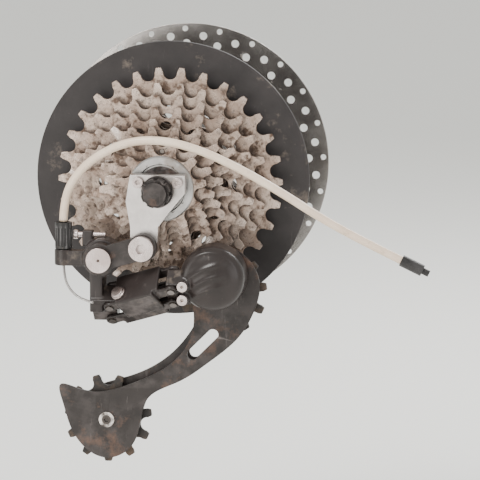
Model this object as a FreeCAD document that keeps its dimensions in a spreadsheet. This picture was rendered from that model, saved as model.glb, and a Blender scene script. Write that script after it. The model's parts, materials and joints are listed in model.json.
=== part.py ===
import FreeCAD, Part
import math
import os
import Sketcher

# A bicycle rear hub with an eight-speed cassette, disc rotor and long-cage derailleur.
# The origin is the hub centre on the axle line. +Y is the left (rotor) side, +X is forwards, +Z is up.
# Lengths are in millimetres. Turned pieces are drawn as a half section, radius against Y.

V = FreeCAD.Vector
DRIVING = {
    "locknut_width": 135.0, "axle_length": 146.0, "axle_r": 5.0, "axle_bore_r": 2.75,
    "skewer_r": 2.4, "flange_pcd": 45.0, "flange_r": 26.5, "flange_thick": 3.2,
    "spoke_hole_r": 1.3, "left_flange_y": 34.5, "right_flange_y": -20.6, "waist_r": 11.5,
    "cup_r": 12.5, "ball_r": 3.15, "ball_ring_r": 9.3, "left_ball_y": 52.0, "right_ball_y": -57.5,
    "small_ball_r": 1.56, "small_ring_r": 12.42, "core_r": 13.4, "core_neck_r": 10.81,
    "driver_bore_r": 14.05, "driver_root_r": 16.4, "driver_spline_r": 17.4, "spline_half": 3.0,
    "first_sprocket_y": -62.1, "sprocket_pitch": 4.8, "sprocket_thick": 1.85, "chain_pitch": 12.7,
    "roller_seat_r": 4.0, "tooth_height": 2.9, "sprocket_bore_r": 17.45, "pin_ring_r": 20.3,
    "rotor_r": 80.0, "rotor_thick": 1.8, "rotor_y": 50.4, "rotor_bore_r": 17.5,
    "rotor_bolt_ring_r": 22.0, "protector_r": 77.5, "protector_bore_r": 20.5,
    "hanger_thick": 6.4, "hanger_hole_x": -8.0, "hanger_hole_z": -31.0,
    "pivot_x": -32.0, "pivot_z": -38.0, "link_length": 40.0, "link_half": 8.0, "link_eye_r": 3.5,
    "link_pin_r": 2.0, "cage_pivot_x": 31.0, "cage_pivot_z": -47.0, "knuckle_r": 18.0, "pulley_y": -57.3,
    "guide_x": 34.0, "guide_z": -58.0, "tension_x": -31.0, "tension_z": -131.0,
    "cage_gap": 3.8, "cage_thick": 1.6, "pulley_thick": 2.3, "housing_r": 2.35,
}


class Dim:
    """A length that carries its number and its spreadsheet formula, so both always agree."""

    def __init__(self, value, text):
        self.value = value
        self.text = text

    def _join(self, other, sign, value):
        text = other.text if isinstance(other, Dim) else repr(float(other))
        return Dim(value, "(" + self.text + sign + text + ")")

    def __add__(self, other):
        return self._join(other, " + ", self.value + number(other))

    def __sub__(self, other):
        return self._join(other, " - ", self.value - number(other))

    def __mul__(self, other):
        return self._join(other, " * ", self.value * number(other))

    def __neg__(self):
        return self * -1.0


def number(item):
    return item.value if isinstance(item, Dim) else float(item)


doc = FreeCAD.newDocument("RearHub")
sheet = doc.addObject("Spreadsheet::Sheet", "Sizes")
for row, (alias, size) in enumerate(DRIVING.items(), start=1):
    sheet.set("A%d" % row, alias)
    sheet.set("B%d" % row, str(size))
    sheet.setAlias("B%d" % row, alias)
doc.recompute()
D = {alias: Dim(float(sheet.get(alias)), "Sizes." + alias) for alias in DRIVING}
PARTS = []


def keep(item, label):
    item.Label = label
    PARTS.append(item)
    return item


def bind(item, prop, size):
    """Set a property to a size, and tie it to the sheet when the size comes from there."""
    setattr(item, prop, number(size))
    if isinstance(size, Dim):
        item.setExpression(prop, size.text)


# ---------------------------------------------------------------- sketched and turned pieces
def new_body(name):
    return doc.addObject("PartDesign::Body", name)


def role(body, wanted):
    return [f for f in body.Origin.OriginFeatures if f.Role == wanted][0]


def new_sketch(body, plane, offset=0.0):
    sketch = body.newObject("Sketcher::SketchObject", body.Name + "_sketch")
    sketch.AttachmentSupport = [(role(body, plane), "")]
    sketch.MapMode = "FlatFace"
    sketch.AttachmentOffset = FreeCAD.Placement(V(0, 0, number(offset)), FreeCAD.Rotation())
    if isinstance(offset, Dim):
        sketch.setExpression("AttachmentOffset.Base.z", offset.text)
    return sketch


def place_point(sketch, edge, end, point):
    """Hold one end of an edge at its coordinates."""
    for kind, size in (("DistanceX", point[0]), ("DistanceY", point[1])):
        index = sketch.addConstraint(Sketcher.Constraint(kind, -1, 1, edge, end, number(size)))
        if isinstance(size, Dim):
            sketch.setExpression("Constraints[%d]" % index, size.text)


def polygon(sketch, points):
    count = len(points)
    first = sketch.GeometryCount
    flat = [V(number(p[0]), number(p[1]), 0) for p in points]
    for i in range(count):
        sketch.addGeometry(Part.LineSegment(flat[i], flat[(i + 1) % count]), False)
    for i in range(count):
        other = first + (i + 1) % count
        sketch.addConstraint(Sketcher.Constraint("Coincident", first + i, 2, other, 1))
        place_point(sketch, first + i, 1, points[i])


def circle(sketch, centre, radius):
    middle = V(number(centre[0]), number(centre[1]), 0)
    edge = sketch.addGeometry(Part.Circle(middle, V(0, 0, 1), number(radius)), False)
    place_point(sketch, edge, 3, centre)
    index = sketch.addConstraint(Sketcher.Constraint("Radius", edge, number(radius)))
    if isinstance(radius, Dim):
        sketch.setExpression("Constraints[%d]" % index, radius.text)


def turn(body, points, feature="PartDesign::Revolution"):
    """Revolve a half section, drawn as (radius, y) points, about the axle line."""
    sketch = new_sketch(body, "XY_Plane")
    polygon(sketch, points)
    turned = body.newObject(feature, body.Name + "_turn")
    turned.Profile = sketch
    turned.ReferenceAxis = (sketch, ["V_Axis"])
    turned.Angle = 360
    return turned


def ring(body, inner, outer, low, high):
    return turn(body, [(inner, low), (outer, low), (outer, high), (inner, high)])


def slab(body, offset, length, draw, feature="PartDesign::Pad"):
    """Pad or cut a sketch in the wheel's plane, centred on the given Y."""
    sketch = new_sketch(body, "XZ_Plane", -offset)
    draw(sketch)
    made = body.newObject(feature, body.Name + "_slab")
    made.Profile = sketch
    made.Midplane = True
    bind(made, "Length", length)
    return made


def around(body, feature, count, axis="Y_Axis"):
    pattern = body.newObject("PartDesign::PolarPattern", body.Name + "_ring")
    pattern.Originals = [feature]
    pattern.Axis = (role(body, axis), [""])
    pattern.Angle = 360
    pattern.Occurrences = count
    body.Tip = pattern
    return pattern


def slots(body, offset, length, count, draw):
    """Cut a shape through a plate and repeat it round the axle line."""
    return around(body, slab(body, offset, length, draw, "PartDesign::Pocket"), count)


def solid_ring(label, inner, outer, low, high):
    body = new_body(label)
    ring(body, inner, outer, low, high)
    return keep(body, label)


# ---------------------------------------------------------------- primitives and booleans
def direction(towards):
    return FreeCAD.Rotation(V(0, 0, 1), V(*towards))


def cylinder(name, radius, length, base, towards=(0, 1, 0)):
    item = doc.addObject("Part::Cylinder", name)
    bind(item, "Radius", radius)
    bind(item, "Height", length)
    item.Placement = FreeCAD.Placement(V(*[number(c) for c in base]), direction(towards))
    return item


def block(name, low, high):
    item = doc.addObject("Part::Box", name)
    for prop, a, b in zip(("Length", "Width", "Height"), low, high):
        bind(item, prop, (b - a) if isinstance(b, Dim) else number(b) - number(a))
    item.Placement = FreeCAD.Placement(V(*[number(c) for c in low]), FreeCAD.Rotation())
    return item


def fuse(name, items):
    made = doc.addObject("Part::MultiFuse", name)
    made.Shapes = items
    return made


def cut(name, base, tools):
    made = doc.addObject("Part::Cut", name)
    made.Base = base
    made.Tool = tools[0] if len(tools) == 1 else fuse(name + "_tools", tools)
    return made


def group(label, shapes):
    """Several identical separate solids in one node."""
    item = doc.addObject("Part::Feature", label)
    item.Shape = Part.makeCompound(shapes)
    return keep(item, label)


def ball_ring(radius, ring_r, y, count):
    steps = [2 * math.pi * k / count for k in range(count)]
    return [Part.makeSphere(radius, V(ring_r * math.sin(a), y, ring_r * math.cos(a))) for a in steps]


def bolt(radius, head_r, start, neck, tip, x=0.0, z=0.0, socket=2.0):
    """A socket-head bolt along Y: head from start to neck, shank to tip."""
    sense = 1.0 if tip > start else -1.0
    along = V(0, sense, 0)
    head = Part.makeCylinder(head_r, abs(neck - start), V(x, start, z), along)
    shank = Part.makeCylinder(radius, abs(tip - neck), V(x, neck, z), along)
    hexagon = [V(x + socket * math.cos(k * math.pi / 3), start, z + socket * math.sin(k * math.pi / 3))
               for k in range(7)]
    recess = Part.Face(Part.makePolygon(hexagon)).extrude(along * abs(neck - start) * 0.6)
    return head.fuse(shank).cut(recess).removeSplitter()


def coil(radius, wire, turns, pitch, base, towards=(0, 1, 0)):
    """A coil spring drawn as separate rings joined by one straight bar."""
    axis = V(*towards)
    side = axis.cross(V(1, 0, 0) if abs(axis.x) < 0.9 else V(0, 0, 1))
    side.normalize()
    rings = [Part.makeTorus(radius, wire, V(*base) + axis * (pitch * k), axis) for k in range(turns)]
    bar = Part.makeCylinder(wire * 0.6, pitch * (turns - 1), V(*base) + side * radius, axis)
    return bar.fuse(rings).removeSplitter()


# ---------------------------------------------------------------- axle group
half_width = D["locknut_width"] * 0.5


def make_axle():
    solid_ring("axle", D["axle_bore_r"], D["axle_r"], D["axle_length"] * -0.5, D["axle_length"] * 0.5)
    cones = []
    for ball_y, sense, outer in ((D["left_ball_y"], 1, 62.6), (D["right_ball_y"], -1, 63.5)):
        race = [(5.9, 0.5), (5.9, 1.16), (8.3, 3.56)]
        y0 = number(ball_y)
        section = [V(5.03, y0 + sense * 0.5, 0)] + [V(r, y0 + sense * y, 0) for r, y in race]
        section += [V(8.3, sense * outer, 0), V(5.03, sense * outer, 0), V(5.03, y0 + sense * 0.5, 0)]
        cone = Part.Face(Part.makePolygon(section)).revolve(V(), V(0, 1, 0), 360)
        flat = Part.makeBox(20, 2.4, 6, V(-10, sense * outer - 1.2 - sense * 1.2, 7.5))
        cones.append(cone.cut(flat).cut(flat.mirror(V(), V(0, 0, 1))))
    group("axle_cones", cones)
    nuts = []
    for start, end in ((62.65, number(half_width)), (-number(half_width), -63.55)):
        corners = [V(9.8 * math.cos(k * math.pi / 3), start, 9.8 * math.sin(k * math.pi / 3))
                   for k in range(7)]
        nut = Part.Face(Part.makePolygon(corners)).extrude(V(0, end - start, 0))
        nuts.append(nut.cut(Part.makeCylinder(5.03, 200, V(0, -100, 0), V(0, 1, 0))))
    group("axle_locknuts", nuts)


def make_quick_release():
    nut_face = -number(half_width) - number(D["hanger_thick"]) - 0.1
    rod_length = 79.8 - (nut_face - 11.0)
    keep(cylinder("skewer_rod", D["skewer_r"], rod_length, (0, nut_face - 11.0, 0)), "skewer_rod")
    outer = cylinder("nut_outer", 8.1, 9.0, (0, nut_face - 9.0, 0))
    rim = cylinder("nut_rim", 8.8, 3.0, (0, nut_face - 3.0, 0))
    dome = cylinder("nut_dome", 6.4, 3.0, (0, nut_face - 12.0, 0))
    grips = [cylinder("nut_grip", 1.3, 7.0, (8.4 * math.cos(k * math.pi / 4), nut_face - 10.2,
                                             8.4 * math.sin(k * math.pi / 4))) for k in range(8)]
    bore = cylinder("nut_bore", D["skewer_r"] + 0.05, 14.0, (0, nut_face - 11.4, 0))
    keep(cut("skewer_nut", fuse("nut_body", [outer, rim, dome]), [bore] + grips), "skewer_nut")
    cap = cylinder("cap_outer", 10.5, 14.0, (0, 73.9, 0))
    well = cylinder("cap_well", 4.4, 4.0, (0, 73.8, 0))
    guide = cylinder("cap_guide", 2.75, 20.0, (0, 70.0, 0))
    cam_bore = cylinder("cap_cam_bore", 4.1, 30.0, (-15.0, 84.0, 0), (1, 0, 0))
    keep(cut("skewer_cap", cap, [well, guide, cam_bore]), "skewer_cap")
    cam = cylinder("lever_cam", 4.0, 25.0, (-10.6, 84.0, 0), (1, 0, 0))
    root = cylinder("lever_root", 5.6, 4.0, (10.7, 84.0, 0), (1, 0, 0))
    arm = block("lever_arm", (10.7, 81.4, -58.0), (14.7, 86.6, 0.0))
    tip = cylinder("lever_tip", 6.0, 4.0, (10.7, 84.0, -58.0), (1, 0, 0))
    keep(fuse("skewer_lever", [cam, root, arm, tip]), "skewer_lever")
    group("skewer_spring", [coil(3.5, 0.4, 4, 0.95, (0, 74.4, 0))])


# ---------------------------------------------------------------- hub shell and bearings
def make_shell():
    body = new_body("hub_shell")
    half = D["flange_thick"] * 0.5
    left, right = D["left_flange_y"], D["right_flange_y"]
    cup_y, cup_r = D["left_ball_y"], D["cup_r"]
    turn(body, [
        (7.95, -24.0), (18.0, -24.0), (18.0, right - half), (D["flange_r"], right - half),
        (D["flange_r"], right + half), (15.5, right + half), (12.8, -13.5), (D["waist_r"], -4.0),
        (D["waist_r"], 18.0), (13.0, 27.0), (16.0, left - half), (D["flange_r"], left - half),
        (D["flange_r"], left + half), (18.0, left + half), (18.0, 40.0), (26.0, 42.0),
        (26.0, D["rotor_y"]), (17.4, D["rotor_y"]), (17.4, 52.0), (14.5, 53.0), (14.5, 57.0),
        (cup_r, 57.0), (cup_r, cup_y - 1.34), (9.05, cup_y - 4.79), (9.05, -14.0), (7.95, -14.0)])
    for flange_y in (left, right):
        slots(body, flange_y, 6.0, 18,
              lambda s: circle(s, (0.0, D["flange_pcd"] * 0.5), D["spoke_hole_r"]))
    slots(body, 47.0, 8.0, 6, lambda s: circle(s, (0.0, D["rotor_bolt_ring_r"]), 2.3))
    keep(body, "hub_shell")
    radius, ring_r = number(D["ball_r"]), number(D["ball_ring_r"])
    group("hub_balls", ball_ring(radius, ring_r, number(cup_y), 9)
          + ball_ring(radius, ring_r, number(D["right_ball_y"]), 9))
    cap = [Part.makeCylinder(12.45, 1.4, V(0, y, 0), V(0, 1, 0)).cut(
        Part.makeCylinder(8.7, 4.0, V(0, y - 1, 0), V(0, 1, 0))) for y in (55.4, -62.5)]
    group("dust_caps", cap)


PAWL_Y = -32.0
PAWL_PIVOT = (6.88, 9.47)
PAWL_FOLD = -10.0
RATCHET_TEETH = 24


def make_freehub():
    core_r, neck_r, cup_r = D["core_r"], D["core_neck_r"], D["cup_r"]
    body = new_body("freehub_core")
    ball = D["right_ball_y"]
    turn(body, [
        (8.0, -24.05), (core_r, -24.05), (core_r, -36.3), (neck_r, -36.3), (neck_r, -52.2),
        (core_r, -52.2), (core_r, -62.8), (cup_r, -62.8), (cup_r, ball + 1.34),
        (9.05, ball + 4.79), (9.05, -46.0), (8.0, -46.0)])
    nest = [(-1.4, 15.0), (-1.4, 11.4), (5.75, 8.15), (6.88, 9.47), (8.3, 11.6), (6.0, 15.0)]
    slots(body, PAWL_Y, 6.6, 2, lambda s: polygon(s, nest))
    slots(body, PAWL_Y, 6.6, 2, lambda s: circle(s, PAWL_PIVOT, 1.66))
    groove = turn(body, [(12.2, PAWL_Y - 0.7), (15.0, PAWL_Y - 0.7), (15.0, PAWL_Y + 0.7),
                         (12.2, PAWL_Y + 0.7)], "PartDesign::Groove")
    body.Tip = groove
    keep(body, "freehub_core")
    bolt_body = new_body("freehub_bolt")
    turn(bolt_body, [(5.9, -14.1), (7.9, -14.1), (7.9, -46.1), (8.9, -46.1), (8.9, -50.5), (5.9, -50.5)])
    keep(bolt_body, "freehub_bolt")
    radius, ring_r = number(D["small_ball_r"]), number(D["small_ring_r"])
    group("freehub_balls", ball_ring(radius, ring_r, -38.3, 24) + ball_ring(radius, ring_r, -50.0, 24))
    wire = doc.addObject("Part::Torus", "pawl_spring")
    wire.Radius1 = 13.0
    wire.Radius2 = 0.35
    wire.Placement = FreeCAD.Placement(V(0, PAWL_Y, 0), direction((0, 1, 0)))
    keep(wire, "pawl_spring")
    for label, side in (("pawl_a", 0.0), ("pawl_b", 180.0)):
        make_pawl(label, side)


def make_pawl(label, side):
    """A pawl, drawn with its tip in the ratchet and then folded in about its own pivot."""
    outline = [(0.7, 13.0), (0.7, 14.75), (1.9, 13.95), (3.4, 13.25), (7.6, 10.85), (5.9, 8.25)]
    pawl = new_body(label)
    slab(pawl, PAWL_Y, 6.0, lambda s: polygon(s, outline))
    slab(pawl, PAWL_Y, 6.0, lambda s: circle(s, PAWL_PIVOT, 1.6))
    turn(pawl, [(12.1, PAWL_Y - 0.7), (16.0, PAWL_Y - 0.7), (16.0, PAWL_Y + 0.7), (12.1, PAWL_Y + 0.7)],
         "PartDesign::Groove")
    hinge = V(PAWL_PIVOT[0], PAWL_Y, PAWL_PIVOT[1])
    folded = FreeCAD.Placement(V(), FreeCAD.Rotation(V(0, 1, 0), PAWL_FOLD), hinge)
    pawl.Placement = FreeCAD.Placement(V(), FreeCAD.Rotation(V(0, 1, 0), side)).multiply(folded)
    keep(pawl, label)


def make_driver():
    bore, root, spline = D["driver_bore_r"], D["driver_root_r"], D["driver_spline_r"]
    back = D["first_sprocket_y"] + D["sprocket_pitch"] * 7.0 + D["sprocket_thick"] * 0.5
    front = -62.9
    body = new_body("freehub_driver")
    turn(body, [(bore, back + 0.05), (19.5, back + 0.05), (19.5, -25.9), (bore, -25.9)])
    turn(body, [(bore, back + 0.2), (root, back + 0.2), (root, front), (15.35, front),
                (15.35, -57.8), (bore, -57.8)])
    ridge = slab(body, -44.9, 35.6, lambda s: polygon(
        s, [(-D["spline_half"], root - 1.0), (D["spline_half"], root - 1.0),
            (D["spline_half"], spline - 0.3), (-D["spline_half"], spline - 0.3)]))
    around(body, ridge, 9)
    tooth = slab(body, -31.0, 12.0, lambda s: polygon(
        s, [(0.0, 13.2), (0.0, 15.3), (2.91, 13.69), (2.8, 13.17)]), "PartDesign::Pocket")
    around(body, tooth, RATCHET_TEETH)
    keep(body, "freehub_driver")


# ---------------------------------------------------------------- sprockets
TEETH = (11, 13, 15, 17, 20, 23, 26, 30)


def pitch_radius(teeth):
    return D["chain_pitch"] * (0.5 / math.sin(math.pi / teeth))


def cut_teeth(body, y, teeth):
    """Cut one roller seat with its flanks, and repeat it for every tooth."""
    pitch_r = pitch_radius(teeth)
    seat = D["roller_seat_r"]
    outer = pitch_r + D["tooth_height"] + 1.0
    mouth = outer * math.tan(math.pi / teeth) - 0.95
    slots(body, y, 6.0, teeth, lambda s: circle(s, (0.0, pitch_r), seat))
    slots(body, y, 6.0, teeth, lambda s: polygon(
        s, [(-(seat * 0.93), pitch_r - 0.6), (seat * 0.93, pitch_r - 0.6), (mouth, outer), (-mouth, outer)]))


def make_sprocket(index, teeth):
    label = "sprocket_%dt" % teeth
    y = D["first_sprocket_y"] + D["sprocket_pitch"] * float(index)
    thick = D["sprocket_thick"]
    body = new_body(label)
    outer = pitch_radius(teeth) + D["tooth_height"]
    bore = D["sprocket_bore_r"]
    ring(body, bore, outer, y - thick * 0.5, y + thick * 0.5)
    lug = slab(body, y, thick, lambda s: polygon(
        s, [(-1.6, -16.6), (1.6, -16.6), (2.2, -bore - 0.6), (-2.2, -bore - 0.6)]))
    around(body, lug, 9)
    if index > 0:
        slots(body, y, 6.0, 3, lambda s: circle(s, (0.0, D["pin_ring_r"]), 1.3))
    if index > 3:
        middle = (bore + outer) * 0.5 + 1.0
        slots(body, y, 6.0, 12, lambda s: circle(s, (0.0, middle), (outer - bore) * 0.14))
    cut_teeth(body, y, teeth)
    keep(body, label)


def make_cassette():
    for index, teeth in enumerate(TEETH):
        make_sprocket(index, teeth)
    y0, pitch, thick = (number(D[k]) for k in ("first_sprocket_y", "sprocket_pitch", "sprocket_thick"))
    rings = []
    for index in range(7):
        low = y0 + pitch * index + thick * 0.5
        tube = Part.makeCylinder(22.0, pitch - thick, V(0, low, 0), V(0, 1, 0))
        if index == 0:
            tube = Part.makeCylinder(18.4, pitch - thick, V(0, low, 0), V(0, 1, 0))
        tube = tube.cut(Part.makeCylinder(17.5, 10, V(0, low - 2, 0), V(0, 1, 0)))
        for k in range(3):
            spot = V(20.3 * math.sin(k * 2 * math.pi / 3), low - 2, 20.3 * math.cos(k * 2 * math.pi / 3))
            tube = tube.cut(Part.makeCylinder(1.3, 10, spot, V(0, 1, 0)))
        rings.append(tube)
    group("cassette_spacers", rings)
    ring_r = number(D["pin_ring_r"])
    pins = [Part.makeCylinder(1.2, 31.0, V(ring_r * math.sin(a), -58.6, ring_r * math.cos(a)), V(0, 1, 0))
            for a in (0, 2 * math.pi / 3, 4 * math.pi / 3)]
    group("cassette_pins", pins)
    body = new_body("lockring")
    face = D["first_sprocket_y"] - D["sprocket_thick"] * 0.5
    turn(body, [(13.85, face - 1.6), (17.6, face - 1.6), (18.3, face - 0.9), (18.3, face),
                (15.3, face), (15.3, -58.0), (13.85, -58.0)])
    slots(body, -64.4, 1.4, 12, lambda s: circle(s, (0.0, 14.0), 0.9))
    keep(body, "lockring")


def make_discs():
    body = new_body("spoke_protector")
    edge, bore = D["protector_r"], D["protector_bore_r"]
    turn(body, [(bore, -24.6), (28.0, -24.6), (edge - 1.5, -20.4), (edge, -20.4), (edge, -18.2),
                (edge - 1.5, -18.2), (edge - 1.5, -19.0), (29.0, -23.1), (28.5, -22.3), (bore, -22.3)])
    slots(body, -21.0, 12.0, 12, lambda s: circle(s, (0.0, 38.0), 4.0))
    keep(body, "spoke_protector")
    rotor = new_body("brake_rotor")
    low = D["rotor_y"] + 0.02
    high = low + D["rotor_thick"]
    ring(rotor, D["rotor_bore_r"], 27.0, low, high)
    ring(rotor, D["rotor_r"] - 15.0, D["rotor_r"], low, high)
    arm = slab(rotor, D["rotor_y"] + 0.92, D["rotor_thick"], lambda s: polygon(
        s, [(-3.2, 25.0), (3.2, 25.0), (16.2, 66.5), (9.2, 68.2)]))
    around(rotor, arm, 6)
    for spot_r, count, size in ((68.5, 24, 2.2), (73.0, 24, 2.2), (77.0, 24, 1.6)):
        slots(rotor, D["rotor_y"], 8.0, count, lambda s: circle(
            s, (spot_r * math.sin(spot_r * 0.03), spot_r * math.cos(spot_r * 0.03)), size))
    slots(rotor, D["rotor_y"], 8.0, 6, lambda s: circle(s, (0.0, D["rotor_bolt_ring_r"]), 2.6))
    keep(rotor, "brake_rotor")
    face = number(D["rotor_y"]) + number(D["rotor_thick"]) + 0.05
    ring_r = number(D["rotor_bolt_ring_r"])
    group("rotor_bolts", [bolt(2.25, 4.4, face + 2.6, face, 43.4, ring_r * math.sin(a),
                               ring_r * math.cos(a), 1.9) for a in [k * math.pi / 3 for k in range(6)]])


# ---------------------------------------------------------------- hanger and bracket
face_y = -number(half_width) - number(D["hanger_thick"])


def make_hanger():
    body = new_body("derailleur_hanger")
    mid = half_width * -1.0 - D["hanger_thick"] * 0.5
    outline = [(-15.5, 9.0), (15.0, 9.0), (15.0, -1.0), (6.0, -12.0), (0.0, -20.0), (-0.5, -31.0),
               (-15.5, -31.0), (-15.5, -20.0), (-18.0, -6.0)]
    slab(body, mid, D["hanger_thick"] - 0.04, lambda s: polygon(s, outline))
    hole = (D["hanger_hole_x"], D["hanger_hole_z"])
    slab(body, mid, D["hanger_thick"] - 0.04, lambda s: circle(s, hole, 7.5))
    slab(body, mid, 12.0, lambda s: circle(s, hole, 5.04), "PartDesign::Pocket")
    slab(body, mid, 12.0, lambda s: circle(s, (0.0, 0.0), 5.15), "PartDesign::Pocket")
    last = slab(body, mid, 12.0, lambda s: polygon(s, [(-9.6, 3.6), (-8.6, 2.6), (-6.6, 4.6), (-7.6, 5.6)]),
                "PartDesign::Pocket")
    for x in (-11.0, 11.0):
        last = slab(body, mid, 12.0, lambda s: circle(s, (x, 5.0), 2.05), "PartDesign::Pocket")
    body.Tip = last
    keep(body, "derailleur_hanger")
    group("hanger_screws", [bolt(2.0, 3.0, face_y - 2.1, face_y - 0.05, -68.0, x, 5.0, 1.4)
                            for x in (-11.0, 11.0)])
    hx, hz = number(D["hanger_hole_x"]), number(D["hanger_hole_z"])
    px, pz = number(D["pivot_x"]), number(D["pivot_z"])
    group("mount_bolt", [bolt(5.0, 7.0, face_y - 10.4, face_y - 6.1, -68.2, hx, hz, 2.9)])
    group("b_axle_bolt", [bolt(4.0, 7.0, face_y - 9.3, face_y - 6.1, -61.0, px, pz, 0.8)])
    eyes = [cylinder("eye", r, 5.8, (x, face_y - 5.95, z)) for r, x, z in ((7.8, hx, hz), (9.0, px, pz))]
    strap = doc.addObject("Part::Box", "strap")
    strap.Length = math.hypot(px - hx, pz - hz)
    strap.Width = 5.8
    strap.Height = 13.0
    tilt = math.degrees(math.atan2(hz - pz, hx - px))
    turned = FreeCAD.Rotation(V(0, 1, 0), -tilt)
    strap.Placement = FreeCAD.Placement(V(px, face_y - 5.95, pz) + turned.multVec(V(0, 0, -6.5)), turned)
    bores = [cylinder("bore", r, 9.0, (x, face_y - 8.0, z)) for r, x, z in ((5.04, hx, hz), (4.05, px, pz))]
    keep(cut("bracket_link", fuse("bracket_solid", eyes + [strap]), bores), "bracket_link")


# ---------------------------------------------------------------- derailleur parallelogram
SLANT = math.radians(45.0)
PIN_DIR = V(0, math.sin(SLANT), math.cos(SLANT))
MOVE_DIR = V(0, math.cos(SLANT), -math.sin(SLANT))
REST_SWING = math.radians(-25.1)
LINK_DIR = V(1, 0, 0) * math.cos(REST_SWING) + MOVE_DIR * math.sin(REST_SWING)
REAR = V(-27.0, -65.0, -64.5)
FRONT = REAR + LINK_DIR * number(D["link_length"])
PIN_OFFSET = 6.0
RAIL_INNER = 5.8
KNUCKLE_TILT = FreeCAD.Rotation(V(1, 0, 0), MOVE_DIR, PIN_DIR, "XYZ")
LINK_TILT = FreeCAD.Rotation(LINK_DIR, PIN_DIR.cross(LINK_DIR), PIN_DIR, "XYZ")


def tilted(item, at, rotation):
    """Move a piece that was drawn in its own upright frame to its place on the linkage."""
    item.Placement = FreeCAD.Placement(at, rotation)
    return item


def pin_block(name, low_x, high_x):
    """The knuckle's end that the two link pins pass through, drawn upright."""
    eye = number(D["link_eye_r"]) - 0.3
    offset = PIN_OFFSET
    return block(name, (low_x, -offset - eye, -5.5), (high_x, offset + eye, 5.5))


def pin_bores(name):
    return [cylinder(name, D["link_pin_r"] + 0.05, 20.0, (0, side * PIN_OFFSET, -10.0), (0, 0, 1))
            for side in (-1, 1)]


ADJUSTER_X, ADJUSTER_Y = -54.0, -68.0
B_SCREW_Y, B_SCREW_Z = -63.0, -26.5


def make_b_knuckle():
    px, pz = number(D["pivot_x"]), number(D["pivot_z"])
    housing = cylinder("b_housing", 10.5, 13.5, (px, -73.7, pz))
    eye = number(D["link_eye_r"]) - 0.3
    pins = cut("b_pins", pin_block("b_block", -11.0, eye), pin_bores("b_pin_bore"))
    tilted(pins, REAR, KNUCKLE_TILT)
    web = block("b_web", (px - 6.5, -73.7, -68.5), (px + 0.8, -60.2, -40.0))
    boss = cylinder("b_boss", 5.0, 9.0, (ADJUSTER_X, ADJUSTER_Y, -43.0), (0, 0, 1))
    bridge = block("b_bridge", (ADJUSTER_X, -72.5, -43.0), (-38.0, -65.0, -34.5))
    lug = block("b_lug", (-44.0, -66.0, -33.0), (-38.0, -60.2, -24.0))
    tools = [cylinder("b_bore", 4.06, 20.0, (px, -76.0, pz)),
             cylinder("b_spring_room", 8.7, 9.0, (px, -70.5, pz)),
             cylinder("b_stem_bore", 2.6, 20.0, (ADJUSTER_X, ADJUSTER_Y, -50.0), (0, 0, 1)),
             cylinder("b_screw_bore", 1.55, 20.0, (-50.0, B_SCREW_Y, B_SCREW_Z), (1, 0, 0))]
    keep(cut("b_knuckle", fuse("b_solid", [housing, pins, web, boss, bridge, lug]), tools), "b_knuckle")
    group("b_spring", [coil(6.4, 0.9, 4, 2.1, (px, -69.2, pz))])
    shank = Part.makeCylinder(1.5, 16.0, V(-47.0, B_SCREW_Y, B_SCREW_Z), V(1, 0, 0))
    head = Part.makeCylinder(2.6, 2.4, V(-49.0, B_SCREW_Y, B_SCREW_Z), V(1, 0, 0))
    group("b_screw", [shank.fuse(head).removeSplitter()])


def make_adjuster():
    """The ribbed barrel that the housing's end sits in."""
    def upright(name, radius, length, z, out=0.0, turned=0.0):
        x = ADJUSTER_X + out * math.cos(turned)
        y = ADJUSTER_Y + out * math.sin(turned)
        return cylinder(name, radius, length, (x, y, z), (0, 0, 1))
    solids = [upright("adjuster_knurl", 4.7, 14.5, -33.5), upright("adjuster_stem", 2.5, 9.5, -42.6)]
    tools = [upright("adjuster_socket", D["housing_r"] + 0.35, 5.0, -22.0),
             upright("adjuster_way", 1.0, 30.0, -45.0)]
    tools += [upright("adjuster_groove", 0.5, 10.0, -32.0, 4.8, k * math.pi / 8) for k in range(16)]
    keep(cut("barrel_adjuster", fuse("adjuster_solid", solids), tools), "barrel_adjuster")


def make_link(label, side):
    """A channel-shaped link: a web on one side and a rail with two eyes at each end of the pins."""
    length, half, eye = (number(D[k]) for k in ("link_length", "link_half", "link_eye_r"))
    solids = [block(label + "_web", (6.0, min(side * 3.9, side * 5.7), -half),
                    (length - 6.0, max(side * 3.9, side * 5.7), half))]
    thick = half - RAIL_INNER
    for low in (RAIL_INNER, -half):
        solids.append(block(label + "_rail", (0.0, -3.0, low), (length, 3.0, low + thick)))
        wide = sorted((side * 2.0, side * 5.0))
        solids.append(block(label + "_side", (6.0, wide[0], low), (length - 6.0, wide[1], low + thick)))
        for x in (0.0, length):
            solids.append(cylinder(label + "_eye", eye, thick, (x, 0, low), (0, 0, 1)))
    bores = [cylinder(label + "_bore", D["link_pin_r"] + 0.02, 17.6, (x, 0, -8.8), (0, 0, 1))
             for x in (0.0, length)]
    if side < 0:
        solids.append(block(label + "_cover", (7.0, -5.7, -10.6), (length - 9.0, 9.0, -8.8)))
        solids.append(block(label + "_rib", (7.0, -5.7, -9.0), (length - 9.0, -3.9, -half + 0.2)))
    link = cut(label, fuse(label + "_solid", solids), bores)
    at = REAR + MOVE_DIR * (side * PIN_OFFSET)
    keep(tilted(link, at, LINK_TILT), label)
    pins = group(label + "_pins", [Part.makeCylinder(number(D["link_pin_r"]), 17.0, V(x, 0, -8.5), V(0, 0, 1))
                                   for x in (0.0, length)])
    tilted(pins, at, LINK_TILT)


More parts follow.
